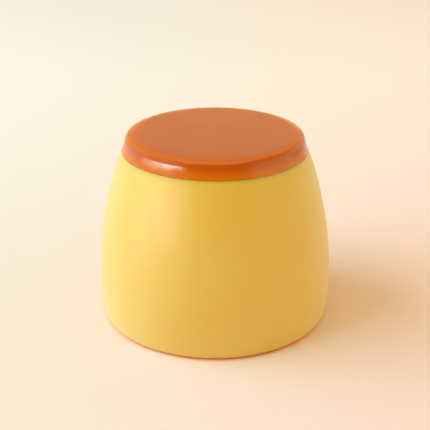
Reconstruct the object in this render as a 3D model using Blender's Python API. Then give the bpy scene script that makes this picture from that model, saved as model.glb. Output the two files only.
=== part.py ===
"""Caramel pudding: a turned custard body with a flat caramel slab lying on it.

The origin is the centre of the base. Z points up and is the axis of both
pieces. Lengths are in metres and angles in radians.
"""
from math import atan2, cos, pi, radians, sin, sqrt

import bpy

# Custard body: a wide foot, one long side arc that narrows upward, a flat top
WIDEST_RADIUS = 0.0400
WIDEST_HEIGHT = 0.0119
SIDE_ARC_RADIUS = 0.1290
LOWER_ARC_RADIUS = 0.0676
FOOT_ROUNDING = 0.0026
BODY_HEIGHT = 0.0589
SHOULDER_ROUNDING = 0.0015

# Caramel slab: a flat top, a soft slope, a rounded edge, a flared wall and a lip
SLAB_GAP = 0.0003
TOTAL_HEIGHT = 0.0648
FLAT_TOP_RADIUS = 0.0254
EDGE_START_RADIUS = 0.0280
EDGE_START_DROP = 0.00045
EDGE_ROUNDING = 0.0021
LIP_RADIUS = 0.03085
LIP_ROUNDING = 0.00045
WALL_LEAN_AT_EDGE = radians(19)
WALL_LEAN_AT_LIP = radians(27)

# Turning and curve resolution
SEGMENTS = 96
SIDE_STEPS = 10
LOWER_STEPS = 4
FOOT_STEPS = 5
SHOULDER_STEPS = 4
SLOPE_STEPS = 3
EDGE_STEPS = 6
WALL_STEPS = 4
LIP_STEPS = 5
MERGE_DISTANCE = 0.00001

CUSTARD_COLOUR = (0.84, 0.57, 0.11, 1.0)
CUSTARD_ROUGHNESS = 0.42
CARAMEL_COLOUR = (0.52, 0.12, 0.012, 1.0)
CARAMEL_ROUGHNESS = 0.16


def clear_scene():
    for old in list(bpy.data.objects):
        bpy.data.objects.remove(old, do_unlink=True)


def material(name, colour, roughness):
    made = bpy.data.materials.new(name)
    made.use_nodes = True
    shader = made.node_tree.nodes["Principled BSDF"]
    shader.inputs["Base Color"].default_value = colour
    shader.inputs["Roughness"].default_value = roughness
    shader.inputs["Metallic"].default_value = 0.0
    made.diffuse_color = colour
    return made


def arc(centre, radius, start, end, steps):
    """Points on a circle from one angle to another, both ends included."""
    angles = [start + (end - start) * i / steps for i in range(steps + 1)]
    return [(centre[0] + radius * cos(a), centre[1] + radius * sin(a)) for a in angles]


def bend(start, start_angle, end, end_angle, steps):
    """A smooth curve that leaves one point and reaches another at given angles."""
    dr, dz = end[0] - start[0], end[1] - start[1]
    across = sin(end_angle - start_angle)
    reach = (dr * sin(end_angle) - dz * cos(end_angle)) / across
    corner = (start[0] + reach * cos(start_angle), start[1] + reach * sin(start_angle))
    curve = []
    for i in range(steps + 1):
        t = i / steps
        weights = ((1 - t) ** 2, 2 * t * (1 - t), t ** 2)
        curve.append(tuple(
            weights[0] * start[k] + weights[1] * corner[k] + weights[2] * end[k] for k in (0, 1)
        ))
    return curve


def join(*runs):
    """One outline from several runs, each point that two runs share kept once."""
    outline = []
    for run in runs:
        for point in run:
            if not outline or abs(point[0] - outline[-1][0]) + abs(point[1] - outline[-1][1]) > 1e-7:
                outline.append(point)
    return outline


def custard_outline():
    """From the middle of the top down the outer side to the middle of the base."""
    side_axis = WIDEST_RADIUS - SIDE_ARC_RADIUS
    shoulder_z = BODY_HEIGHT - SHOULDER_ROUNDING
    side_reach = SIDE_ARC_RADIUS - SHOULDER_ROUNDING
    shoulder_r = side_axis + sqrt(side_reach ** 2 - (shoulder_z - WIDEST_HEIGHT) ** 2)
    side_top = atan2(shoulder_z - WIDEST_HEIGHT, shoulder_r - side_axis)

    lower_axis = WIDEST_RADIUS - LOWER_ARC_RADIUS
    lower_reach = LOWER_ARC_RADIUS - FOOT_ROUNDING
    foot_r = lower_axis + sqrt(lower_reach ** 2 - (WIDEST_HEIGHT - FOOT_ROUNDING) ** 2)
    foot_top = atan2(FOOT_ROUNDING - WIDEST_HEIGHT, foot_r - lower_axis)

    return join(
        [(0.0, BODY_HEIGHT)],
        arc((shoulder_r, shoulder_z), SHOULDER_ROUNDING, pi / 2, side_top, SHOULDER_STEPS),
        arc((side_axis, WIDEST_HEIGHT), SIDE_ARC_RADIUS, side_top, 0.0, SIDE_STEPS),
        arc((lower_axis, WIDEST_HEIGHT), LOWER_ARC_RADIUS, 0.0, foot_top, LOWER_STEPS),
        arc((foot_r, FOOT_ROUNDING), FOOT_ROUNDING, foot_top, -pi / 2, FOOT_STEPS),
        [(0.0, 0.0)],
    )


def caramel_outline():
    """From the middle of the top down the outer side to the middle of the underside."""
    underside = BODY_HEIGHT + SLAB_GAP
    edge_z = TOTAL_HEIGHT - EDGE_START_DROP
    slope = atan2(2 * EDGE_START_DROP, EDGE_START_RADIUS - FLAT_TOP_RADIUS)
    edge_centre = (EDGE_START_RADIUS - EDGE_ROUNDING * sin(slope), edge_z - EDGE_ROUNDING * cos(slope))
    edge = arc(edge_centre, EDGE_ROUNDING, pi / 2 - slope, WALL_LEAN_AT_EDGE, EDGE_STEPS)
    lip_centre = (LIP_RADIUS - LIP_ROUNDING, underside + LIP_ROUNDING)
    lip = arc(lip_centre, LIP_ROUNDING, WALL_LEAN_AT_LIP, -pi / 2, LIP_STEPS)

    return join(
        [(0.0, TOTAL_HEIGHT)],
        bend((FLAT_TOP_RADIUS, TOTAL_HEIGHT), 0.0, edge[0], -slope, SLOPE_STEPS),
        edge,
        bend(edge[-1], WALL_LEAN_AT_EDGE - pi / 2, lip[0], WALL_LEAN_AT_LIP - pi / 2, WALL_STEPS),
        lip,
        [(0.0, underside)],
    )


def turned(name, outline, finish):
    """A solid of revolution from an outline that runs down its outer side."""
    mesh = bpy.data.meshes.new(name)
    vertices = [(r, 0.0, z) for r, z in outline]
    edges = [(i, i + 1) for i in range(len(outline) - 1)]
    mesh.from_pydata(vertices, edges, [])
    mesh.materials.append(finish)
    piece = bpy.data.objects.new(name, mesh)
    bpy.context.collection.objects.link(piece)
    screw = piece.modifiers.new("Turn", "SCREW")
    screw.axis = "Z"
    screw.angle = 2 * pi
    screw.steps = SEGMENTS
    screw.render_steps = SEGMENTS
    screw.use_merge_vertices = True
    screw.merge_threshold = MERGE_DISTANCE
    screw.use_smooth_shade = True
    return piece


def main():
    clear_scene()
    custard = material("custard", CUSTARD_COLOUR, CUSTARD_ROUGHNESS)
    caramel = material("caramel", CARAMEL_COLOUR, CARAMEL_ROUGHNESS)
    turned("custard_body", custard_outline(), custard)
    turned("caramel_slab", caramel_outline(), caramel)


main()
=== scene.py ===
"""Looks for the caramel pudding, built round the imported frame.

Two finely turned meshes stand for the two solids: the custard body and the
caramel slab that lies on it. Lengths are in metres.
"""

from math import atan2, cos, pi, radians, sin, sqrt

import bpy
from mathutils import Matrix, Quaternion, Vector, noise

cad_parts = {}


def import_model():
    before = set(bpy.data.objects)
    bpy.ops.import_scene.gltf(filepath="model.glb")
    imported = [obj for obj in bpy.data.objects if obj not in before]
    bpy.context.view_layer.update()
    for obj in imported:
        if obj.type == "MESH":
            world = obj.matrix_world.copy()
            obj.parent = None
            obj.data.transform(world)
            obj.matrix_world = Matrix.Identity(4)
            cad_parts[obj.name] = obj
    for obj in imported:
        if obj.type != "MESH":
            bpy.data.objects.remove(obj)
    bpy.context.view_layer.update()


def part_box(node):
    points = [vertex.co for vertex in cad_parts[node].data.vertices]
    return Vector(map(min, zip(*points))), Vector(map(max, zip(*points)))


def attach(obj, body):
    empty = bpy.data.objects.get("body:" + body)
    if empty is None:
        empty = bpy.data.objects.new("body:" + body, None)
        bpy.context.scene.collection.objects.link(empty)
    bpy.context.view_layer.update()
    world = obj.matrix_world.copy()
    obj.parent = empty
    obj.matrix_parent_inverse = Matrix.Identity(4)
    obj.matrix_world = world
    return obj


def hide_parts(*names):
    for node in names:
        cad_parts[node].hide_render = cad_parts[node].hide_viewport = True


# Custard body, where the frame's boxes don't give it
WIDEST_HEIGHT = 0.0119
SIDE_ARC_RADIUS = 0.1290
LOWER_ARC_RADIUS = 0.0676
FOOT_ROUNDING = 0.0026
SHOULDER_ROUNDING = 0.0009
BODY_RISE = 0.00045

# Caramel slab, where the frame's boxes don't give it
FLAT_TOP_RADIUS = 0.0258
EDGE_START_RADIUS = 0.0285
EDGE_START_DROP = 0.00045
EDGE_ROUNDING = 0.0021
LIP_SPREAD = 0.0003
LIP_ROUNDING = 0.00035
LIP_SAG = 0.0007
LIP_SAG_WIDTH = 0.0012
WALL_LEAN_AT_EDGE = radians(16)
WALL_LEAN_AT_LIP = radians(24)

# Fineness of the turned meshes
SEGMENTS = 256
OUTLINE_STEP = 0.0007
ARC_STEP = radians(9)
SLOPE_STEPS = 8
WALL_STEPS = 12

# Hand-made unevenness, as a greatest shift of the surface
UNEVEN_BODY = 0.00012
UNEVEN_SLAB = 0.00005
UNEVEN_LIP = 0.00006
UNEVEN_LIP_REACH = 0.0025
UNEVEN_SPACING = 0.011

# Camera: lens and sensor in millimetres, elevation in degrees
CAMERA_LENS = 80.0
SENSOR_WIDTH = 36.0
CAMERA_DISTANCE = 0.32954
CAMERA_ELEVATION = 23.228
LOOK_AT_HEIGHT = 0.034386

# Colours, linear
CUSTARD_PALE = (0.800, 0.566, 0.094)
CUSTARD_DEEP = (0.790, 0.538, 0.075)
# Caramel stain below the seam, partly painted amber glow of light through the caramel
CUSTARD_STAIN_AND_GLOW = (1.0, 0.50, 0.035)
# Painted warm glow in the shaded crease at the custard's foot
CUSTARD_FOOT_GLOW = (1.0, 0.42, 0.03)
CARAMEL_DEEP = (0.476, 0.091, 0.005)
CARAMEL_CLEAR = (0.507, 0.103, 0.006)
# Painted glow on the rounded rim, for light passing through the edge
CARAMEL_RIM_GLOW = (0.620, 0.140, 0.004)
# Painted shade on the upper wall, where it reflects the dark front
CARAMEL_WALL_SHADE = (0.540, 0.096, 0.003)
CARAMEL_THIN = (0.760, 0.180, 0.003)

# Floor: near and far colours, each at the left and at the right, the painted warm glow that the
# custard throws on the floor beside it, and the stretches across and away over which the colours turn
FLOOR_NEAR = ((0.850, 0.757, 0.694), (0.955, 0.685, 0.624))
FLOOR_FAR = ((0.915, 0.885, 0.824), (1.0, 0.872, 0.790))
# Painted warm glow that the custard throws on the floor round its foot
FLOOR_CONTACT_GLOW = (0.98, 0.60, 0.18)
FLOOR_CONTACT_GLOW_SHARE = 0.75
FLOOR_CONTACT_GLOW_REACH = (0.0375, 0.0403)
FLOOR_TURN = 0.12
FLOOR_DEPTH = (-0.08, 0.35)
FLOOR_HALF_WIDTH = 3.0
FLOOR_CELLS = 24

# Custard: size of its clouds and grain, its caramel stains with painted amber glow (depth below the
# seam, strength), and the height of the painted warm glow at its foot
CUSTARD_CLOUDS = 24.0
CUSTARD_GRAIN = 520.0
CUSTARD_RELIEF = 0.000012
STAINS_AND_GLOW = ((0.0050, 0.25), (0.0016, 0.85))
STAIN_AND_GLOW_WAVER = 0.0012
FOOT_GLOW_HEIGHT = 0.0022

# Caramel: size of its clouds and grain, where the painted glow on the rim and the painted shade on the
# wall lie, and where the thin lip changes colour
CARAMEL_CLOUDS = 60.0
CARAMEL_GRAIN = 380.0
CARAMEL_RELIEF = 0.00002
RIM_GLOW_REACH = (FLAT_TOP_RADIUS - 0.001, EDGE_START_RADIUS + 0.0005)
WALL_SHADE_BELOW_TOP = (0.0018, 0.0006)
THIN_HEIGHT = 0.0040

# Soft studio light: name, shape, azimuth from the camera's side towards the right, elevation,
# distance, width, height, tilt, watts, colour and what it lights (matt surfaces, gloss)
LAMPS = (
    ("key", "RECTANGLE", -84, 48, 1.80, 1.70, 0.80, 0, 14.2, (0.92, 1.0, 0.97), (True, False)),
    ("fill", "RECTANGLE", -86, 25, 1.80, 2.80, 1.40, 0, 29.5, (0.45, 0.608, 1.0), (True, False)),
    ("strip", "ELLIPSE", -61, 6.6, 1.80, 1.90, 0.19, 8, 19.0, (1.0, 1.0, 0.88), (False, True)),
    ("strip_edge", "ELLIPSE", -66, 6.0, 1.78, 2.60, 0.26, 8, 4.6, (1.0, 0.96, 0.84), (False, True)),
    ("overhead", "RECTANGLE", 0, 66, 1.60, 1.60, 1.60, 0, 8.6, (0.73, 0.95, 0.44), (True, False)),
    ("sheet", "RECTANGLE", 0, 84, 1.60, 1.60, 1.60, 0, 9.6, (0.80, 0.94, 0.74), (False, True)),
    ("bounce", "RECTANGLE", 90, 48, 1.80, 2.40, 1.00, 0, 6.0, (1.0, 0.85, 0.68), (True, False)),
)

# Pale cards round the set: name, azimuth, half width, lowest and highest elevation, colour.
# A card whose lowest elevation is LOWEST goes all the way down
LOWEST = -90
CARDS = (
    ("front", 0, 46, LOWEST, 50, (0.52, 0.22, 0.02)),
    ("right_low", 90, 44, LOWEST, 25, (1.12, 1.18, 0.66)),
    ("right_mid", 90, 44, 25, 56, (0.30, 0.12, 0.03)),
    ("left_low", -90, 44, LOWEST, 14, (0.75, 0.90, 0.85)),
    ("left_mid", -90, 44, 14, 56, (0.55, 0.65, 0.70)),
    ("back_low", 180, 46, LOWEST, 16, (1.25, 0.80, 0.32)),
    ("back_mid", 180, 46, 16, 62, (0.90, 0.55, 0.38)),
)
CARD_SOFTNESS = 12


def arc(centre, radius, start, end):
    """Points on a circle from one angle to another, both ends included."""
    turn = abs(end - start)
    steps = max(3, round(turn / ARC_STEP), round(turn * radius / OUTLINE_STEP))
    angles = [start + (end - start) * i / steps for i in range(steps + 1)]
    return [(centre[0] + radius * cos(a), centre[1] + radius * sin(a)) for a in angles]


def bend(start, start_angle, end, end_angle, steps):
    """A smooth curve that leaves one point and reaches another at given angles."""
    dr, dz = end[0] - start[0], end[1] - start[1]
    reach = (dr * sin(end_angle) - dz * cos(end_angle)) / sin(end_angle - start_angle)
    corner = (start[0] + reach * cos(start_angle), start[1] + reach * sin(start_angle))
    curve = []
    for i in range(steps + 1):
        t = i / steps
        weights = ((1 - t) ** 2, 2 * t * (1 - t), t ** 2)
        curve.append(tuple(
            weights[0] * start[k] + weights[1] * corner[k] + weights[2] * end[k] for k in (0, 1)
        ))
    return curve


def level(start_r, end_r, z):
    """Points along a level stretch, both ends included."""
    steps = max(2, round(abs(end_r - start_r) / OUTLINE_STEP / 2))
    return [(start_r + (end_r - start_r) * i / steps, z) for i in range(steps + 1)]


def join(*runs):
    """One outline from several runs, each point that two runs share kept once."""
    outline = []
    for run in runs:
        for point in run:
            if not outline or abs(point[0] - outline[-1][0]) + abs(point[1] - outline[-1][1]) > 1e-7:
                outline.append(point)
    return outline


def custard_outline(widest, height):
    """From the middle of the top down the outer side to the middle of the base."""
    side_axis = widest - SIDE_ARC_RADIUS
    shoulder_z = height - SHOULDER_ROUNDING
    side_reach = SIDE_ARC_RADIUS - SHOULDER_ROUNDING
    shoulder_r = side_axis + sqrt(side_reach ** 2 - (shoulder_z - WIDEST_HEIGHT) ** 2)
    side_top = atan2(shoulder_z - WIDEST_HEIGHT, shoulder_r - side_axis)

    lower_axis = widest - LOWER_ARC_RADIUS
    lower_reach = LOWER_ARC_RADIUS - FOOT_ROUNDING
    foot_r = lower_axis + sqrt(lower_reach ** 2 - (WIDEST_HEIGHT - FOOT_ROUNDING) ** 2)
    foot_top = atan2(FOOT_ROUNDING - WIDEST_HEIGHT, foot_r - lower_axis)

    return join(
        level(0.0, shoulder_r, height),
        arc((shoulder_r, shoulder_z), SHOULDER_ROUNDING, pi / 2, side_top),
        arc((side_axis, WIDEST_HEIGHT), SIDE_ARC_RADIUS, side_top, 0.0),
        arc((lower_axis, WIDEST_HEIGHT), LOWER_ARC_RADIUS, 0.0, foot_top),
        arc((foot_r, FOOT_ROUNDING), FOOT_ROUNDING, foot_top, -pi / 2),
        level(foot_r, 0.0, 0.0),
    )


def caramel_outline(lip_radius, underside, top):
    """From the middle of the top down the outer side to the middle of the underside."""
    edge_z = top - EDGE_START_DROP
    slope = atan2(2 * EDGE_START_DROP, EDGE_START_RADIUS - FLAT_TOP_RADIUS)
    edge_centre = (EDGE_START_RADIUS - EDGE_ROUNDING * sin(slope), edge_z - EDGE_ROUNDING * cos(slope))
    edge = arc(edge_centre, EDGE_ROUNDING, pi / 2 - slope, WALL_LEAN_AT_EDGE)
    lip_centre = (lip_radius - LIP_ROUNDING, underside - LIP_SAG + LIP_ROUNDING)
    lip = arc(lip_centre, LIP_ROUNDING, WALL_LEAN_AT_LIP, -pi / 2)
    wall_start, wall_end = WALL_LEAN_AT_EDGE - pi / 2, WALL_LEAN_AT_LIP - pi / 2

    return join(
        level(0.0, FLAT_TOP_RADIUS, top),
        bend((FLAT_TOP_RADIUS, top), 0.0, edge[0], -slope, SLOPE_STEPS),
        edge,
        bend(edge[-1], wall_start, lip[0], wall_end, WALL_STEPS),
        lip,
        level(lip_centre[0] - LIP_SAG_WIDTH, 0.0, underside),
    )


def turned(name, outline):
    """A closed solid of revolution whose faces point outward."""
    rings = outline[1:-1]
    circle = [(cos(2 * pi * s / SEGMENTS), sin(2 * pi * s / SEGMENTS)) for s in range(SEGMENTS)]
    points = [(0.0, 0.0, outline[0][1])]
    for r, z in rings:
        points.extend((r * x, r * y, z) for x, y in circle)
    points.append((0.0, 0.0, outline[-1][1]))

    faces = []
    last = len(points) - 1
    last_ring = 1 + (len(rings) - 1) * SEGMENTS
    for s in range(SEGMENTS):
        after = (s + 1) % SEGMENTS
        faces.append((0, 1 + s, 1 + after))
        faces.append((last, last_ring + after, last_ring + s))
    for ring in range(len(rings) - 1):
        upper = 1 + ring * SEGMENTS
        lower = upper + SEGMENTS
        for s in range(SEGMENTS):
            after = (s + 1) % SEGMENTS
            faces.append((upper + s, lower + s, lower + after, upper + after))

    mesh = bpy.data.meshes.new(name)
    mesh.from_pydata(points, [], faces)
    mesh.shade_smooth()
    piece = bpy.data.objects.new(name, mesh)
    bpy.context.collection.objects.link(piece)
    return piece


def uneven(piece, amount, lip_amount, lip_height):
    """Moves the sides in and out a little, as no pudding is perfectly round."""
    for vertex in piece.data.vertices:
        place = vertex.co
        reach = sqrt(place.x ** 2 + place.y ** 2)
        if reach > 0.0:
            near_lip = max(0.0, 1.0 - abs(place.z - lip_height) / UNEVEN_LIP_REACH)
            most = amount + (lip_amount - amount) * near_lip
            shift = most * noise.noise(place / UNEVEN_SPACING)
            place.x += shift * place.x / reach
            place.y += shift * place.y / reach


def blank(name):
    """A new material, its node tree and its shader."""
    made = bpy.data.materials.new(name)
    made.use_nodes = True
    return made, made.node_tree, made.node_tree.nodes["Principled BSDF"]


def noise_field(tree, place, scale, detail):
    """Soft noise from 0 to 1 over the object's own space."""
    node = tree.nodes.new("ShaderNodeTexNoise")
    node.inputs["Scale"].default_value = scale
    node.inputs["Detail"].default_value = detail
    tree.links.new(place, node.inputs["Vector"])
    return node.outputs["Fac"]


def ramp(tree, value, low, high, to_low=0.0, to_high=1.0):
    """A value moved smoothly from one range to another."""
    node = tree.nodes.new("ShaderNodeMapRange")
    node.interpolation_type = "SMOOTHSTEP"
    node.inputs["From Min"].default_value = low
    node.inputs["From Max"].default_value = high
    node.inputs["To Min"].default_value = to_low
    node.inputs["To Max"].default_value = to_high
    tree.links.new(value, node.inputs["Value"])
    return node.outputs["Result"]


def mix(tree, share, first, second):
    """A mix of two colours, each a colour or a node's output."""
    node = tree.nodes.new("ShaderNodeMix")
    node.data_type = "RGBA"
    tree.links.new(share, node.inputs[0])
    for socket, colour in ((node.inputs[6], first), (node.inputs[7], second)):
        if isinstance(colour, tuple):
            socket.default_value = (*colour, 1.0)
        else:
            tree.links.new(colour, socket)
    return node.outputs[2]


def calculate(tree, operation, *values):
    """A sum, product or other result of numbers and node outputs."""
    node = tree.nodes.new("ShaderNodeMath")
    node.operation = operation
    for socket, value in zip(node.inputs, values):
        if isinstance(value, (int, float)):
            socket.default_value = value
        else:
            tree.links.new(value, socket)
    return node.outputs["Value"]


def bump(tree, shader, height, distance):
    """Fine relief from a height of 0 to 1, as deep as the distance."""
    node = tree.nodes.new("ShaderNodeBump")
    node.inputs["Distance"].default_value = distance
    tree.links.new(height, node.inputs["Height"])
    tree.links.new(node.outputs["Normal"], shader.inputs["Normal"])


def object_space(tree):
    """The place in the object's own space, and its separate coordinates."""
    place = tree.nodes.new("ShaderNodeTexCoord").outputs["Object"]
    parts = tree.nodes.new("ShaderNodeSeparateXYZ")
    tree.links.new(place, parts.inputs["Vector"])
    return place, parts.outputs["X"], parts.outputs["Y"], parts.outputs["Z"]


def distance_from_axis(tree, x, y):
    """How far a place lies from the upright axis."""
    square_x = calculate(tree, "MULTIPLY", x, x)
    square_y = calculate(tree, "MULTIPLY", y, y)
    return calculate(tree, "SQRT", calculate(tree, "ADD", square_x, square_y))


def custard_material(seam_height):
    """Smooth set custard: satin, softly translucent, stained where the caramel meets it, with painted
    amber glow there and painted warm glow at its foot.
    """
    made, tree, shader = blank("custard")
    place, _, _, z = object_space(tree)
    broad = noise_field(tree, place, CUSTARD_CLOUDS, 2.0)
    fine = noise_field(tree, place, CUSTARD_GRAIN, 3.0)
    colour = mix(tree, ramp(tree, broad, 0.35, 0.65), CUSTARD_DEEP, CUSTARD_PALE)
    waver = calculate(tree, "MULTIPLY", calculate(tree, "SUBTRACT", broad, 0.5), STAIN_AND_GLOW_WAVER)
    edge = calculate(tree, "ADD", z, waver)
    # Caramel stains below the seam, partly painted light: amber glow through the caramel, brightened
    # against the crease's shade
    for depth, strength in STAINS_AND_GLOW:
        stain_and_glow = ramp(tree, edge, seam_height - depth, seam_height, 0.0, strength)
        colour = mix(tree, stain_and_glow, colour, CUSTARD_STAIN_AND_GLOW)
    # Painted warm glow: orange in the shaded crease at the foot, for light passed through the custard
    foot_glow = ramp(tree, z, 0.0, FOOT_GLOW_HEIGHT, 1.0, 0.0)
    colour = mix(tree, foot_glow, colour, CUSTARD_FOOT_GLOW)
    tree.links.new(colour, shader.inputs["Base Color"])
    tree.links.new(ramp(tree, fine, 0.3, 0.7, 0.38, 0.46), shader.inputs["Roughness"])
    shader.inputs["IOR"].default_value = 1.45
    shader.inputs["Specular IOR Level"].default_value = 0.5
    shader.inputs["Sheen Weight"].default_value = 0.52
    shader.inputs["Sheen Roughness"].default_value = 0.5
    shader.inputs["Subsurface Weight"].default_value = 1.0
    shader.inputs["Subsurface Radius"].default_value = (1.0, 0.5, 0.2)
    shader.inputs["Subsurface Scale"].default_value = 0.006
    bump(tree, shader, fine, CUSTARD_RELIEF)
    return made


def caramel_material(underside, top):
    """Set caramel: glossy, deep where it is thick, clear amber at its thin lip, with a painted glow on
    its rounded rim and painted shade on its upper wall.
    """
    made, tree, shader = blank("caramel")
    place, x, y, z = object_space(tree)
    reach = distance_from_axis(tree, x, y)
    broad = noise_field(tree, place, CARAMEL_CLOUDS, 3.0)
    fine = noise_field(tree, place, CARAMEL_GRAIN, 2.0)
    colour = mix(tree, ramp(tree, broad, 0.3, 0.7), CARAMEL_DEEP, CARAMEL_CLEAR)
    # Painted glow: brighter amber on the rounded rim, for light passing through the edge
    rim_glow = ramp(tree, reach, *RIM_GLOW_REACH)
    colour = mix(tree, rim_glow, colour, CARAMEL_RIM_GLOW)
    # Painted shade: a darker band on the upper wall below the glowing rim, where the wall reflects the
    # dark front
    wall_shade_low, wall_shade_high = (top - drop for drop in WALL_SHADE_BELOW_TOP)
    wall_shade = ramp(tree, z, wall_shade_low, wall_shade_high, 1.0, 0.0)
    colour = mix(tree, wall_shade, colour, CARAMEL_WALL_SHADE)
    thin = ramp(tree, z, underside, underside + THIN_HEIGHT, 1.0, 0.0)
    colour = mix(tree, thin, colour, CARAMEL_THIN)
    tree.links.new(colour, shader.inputs["Base Color"])
    tree.links.new(ramp(tree, fine, 0.3, 0.7, 0.07, 0.10), shader.inputs["Roughness"])
    shader.inputs["IOR"].default_value = 1.50
    shader.inputs["Subsurface Weight"].default_value = 0.8
    shader.inputs["Subsurface Radius"].default_value = (1.0, 0.35, 0.08)
    shader.inputs["Subsurface Scale"].default_value = 0.003
    bump(tree, shader, broad, CARAMEL_RELIEF)
    return made


def floor_material():
    """Matt painted board, whose tone turns from cream to peach across it, with a painted warm glow
    round the custard's foot.
    """
    made, tree, shader = blank("board")
    _, x, y, _ = object_space(tree)
    across = ramp(tree, x, -FLOOR_TURN, FLOOR_TURN)
    away = ramp(tree, y, *FLOOR_DEPTH)
    colour = mix(tree, away, mix(tree, across, *FLOOR_NEAR), mix(tree, across, *FLOOR_FAR))
    # Painted warm glow: a ring of orange on the floor round the custard's foot, for light it throws
    # there
    reach = distance_from_axis(tree, x, y)
    contact_glow = ramp(tree, reach, *FLOOR_CONTACT_GLOW_REACH, FLOOR_CONTACT_GLOW_SHARE, 0.0)
    colour = mix(tree, contact_glow, colour, FLOOR_CONTACT_GLOW)
    tree.links.new(colour, shader.inputs["Base Color"])
    shader.inputs["Roughness"].default_value = 0.9
    shader.inputs["Specular IOR Level"].default_value = 0.2
    return made


def around(azimuth, elevation, distance):
    """A place seen from the object: azimuth from the camera's side towards the right."""
    a, e = radians(azimuth), radians(elevation)
    return Vector((sin(a) * cos(e), -cos(a) * cos(e), sin(e))) * distance


def lamp(name, shape, azimuth, elevation, distance, width, height, tilt, watts, colour, lights):
    """A soft lamp that faces the object and isn't seen itself."""
    data = bpy.data.lights.new(name, "AREA")
    data.shape = shape
    data.size = width
    data.size_y = height
    data.energy = watts
    data.color = colour
    made = bpy.data.objects.new(name, data)
    bpy.context.collection.objects.link(made)
    made.location = around(azimuth, elevation, distance)
    turn = made.location.to_track_quat("Z", "Y") @ Quaternion((0.0, 0.0, 1.0), radians(tilt))
    made.rotation_euler = turn.to_euler()
    made.visible_diffuse, made.visible_glossy = lights
    made.visible_camera = False


def soft_edge(elevation):
    """The heights on the unit sphere between which a card's level edge fades."""
    return sin(radians(elevation - CARD_SOFTNESS)), sin(radians(elevation + CARD_SOFTNESS))


def world():
    """Soft-edged pale cards all round the set, added up."""
    made = bpy.data.worlds.new("studio")
    made.use_nodes = True
    bpy.context.scene.world = made
    tree = made.node_tree
    background = tree.nodes["Background"]
    place = tree.nodes.new("ShaderNodeTexCoord").outputs["Generated"]
    parts = tree.nodes.new("ShaderNodeSeparateXYZ")
    tree.links.new(place, parts.inputs["Vector"])
    x, y, z = (parts.outputs[axis] for axis in "XYZ")
    reach = calculate(tree, "MAXIMUM", distance_from_axis(tree, x, y), 0.001)
    light = None
    for name, azimuth, half_width, low, high, colour in CARDS:
        toward = around(azimuth, 0.0, 1.0)
        along_x = calculate(tree, "MULTIPLY", x, toward.x)
        along_y = calculate(tree, "MULTIPLY", y, toward.y)
        facing = calculate(tree, "DIVIDE", calculate(tree, "ADD", along_x, along_y), reach)
        outer = cos(radians(half_width + CARD_SOFTNESS))
        inner = cos(radians(half_width - CARD_SOFTNESS))
        share = ramp(tree, facing, outer, inner)
        upper = ramp(tree, z, *soft_edge(high), 1.0, 0.0)
        share = calculate(tree, "MULTIPLY", share, upper)
        if low > LOWEST:
            lower = ramp(tree, z, *soft_edge(low))
            share = calculate(tree, "MULTIPLY", share, lower)
        card = tree.nodes.new("ShaderNodeVectorMath")
        card.name = name
        card.operation = "SCALE"
        card.inputs["Vector"].default_value = colour
        tree.links.new(share, card.inputs["Scale"])
        if light is None:
            light = card.outputs["Vector"]
        else:
            total = tree.nodes.new("ShaderNodeVectorMath")
            total.operation = "ADD"
            tree.links.new(light, total.inputs[0])
            tree.links.new(card.outputs["Vector"], total.inputs[1])
            light = total.outputs["Vector"]
    tree.links.new(light, background.inputs["Color"])


def camera():
    """A camera that looks down at the middle of the object from the front."""
    data = bpy.data.cameras.new("camera")
    data.lens = CAMERA_LENS
    data.sensor_width = SENSOR_WIDTH
    made = bpy.data.objects.new("camera", data)
    bpy.context.collection.objects.link(made)
    back = around(0.0, CAMERA_ELEVATION, 1.0)
    made.location = Vector((0.0, 0.0, LOOK_AT_HEIGHT)) + back * CAMERA_DISTANCE
    made.rotation_euler = (-back).to_track_quat("-Z", "Y").to_euler()
    bpy.context.scene.camera = made


def floor():
    """A wide pale board that fills the view."""
    mesh = bpy.data.meshes.new("floor")
    row = FLOOR_CELLS + 1
    grid = [FLOOR_HALF_WIDTH * (2 * i / FLOOR_CELLS - 1) for i in range(row)]
    points = [(gx, gy, 0.0) for gy in grid for gx in grid]
    faces = [
        (j * row + i, j * row + i + 1, (j + 1) * row + i + 1, (j + 1) * row + i)
        for j in range(FLOOR_CELLS) for i in range(FLOOR_CELLS)
    ]
    mesh.from_pydata(points, [], faces)
    mesh.materials.append(floor_material())
    made = bpy.data.objects.new("floor", mesh)
    bpy.context.collection.objects.link(made)


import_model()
bpy.context.scene.view_settings.view_transform = "Standard"

_, body_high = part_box("custard_body")
slab_low, slab_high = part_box("caramel_slab")

custard = turned("custard", custard_outline(body_high[0], body_high[2] + BODY_RISE))
uneven(custard, UNEVEN_BODY, UNEVEN_LIP, slab_low[2])
custard.data.materials.append(custard_material(slab_low[2]))
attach(custard, "root")
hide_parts("custard_body")

caramel = turned("caramel", caramel_outline(slab_high[0] + LIP_SPREAD, slab_low[2], slab_high[2]))
uneven(caramel, UNEVEN_SLAB, UNEVEN_LIP, slab_low[2])
caramel.data.materials.append(caramel_material(slab_low[2], slab_high[2]))
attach(caramel, "root")
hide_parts("caramel_slab")

floor()
world()
camera()
for row in LAMPS:
    lamp(*row)
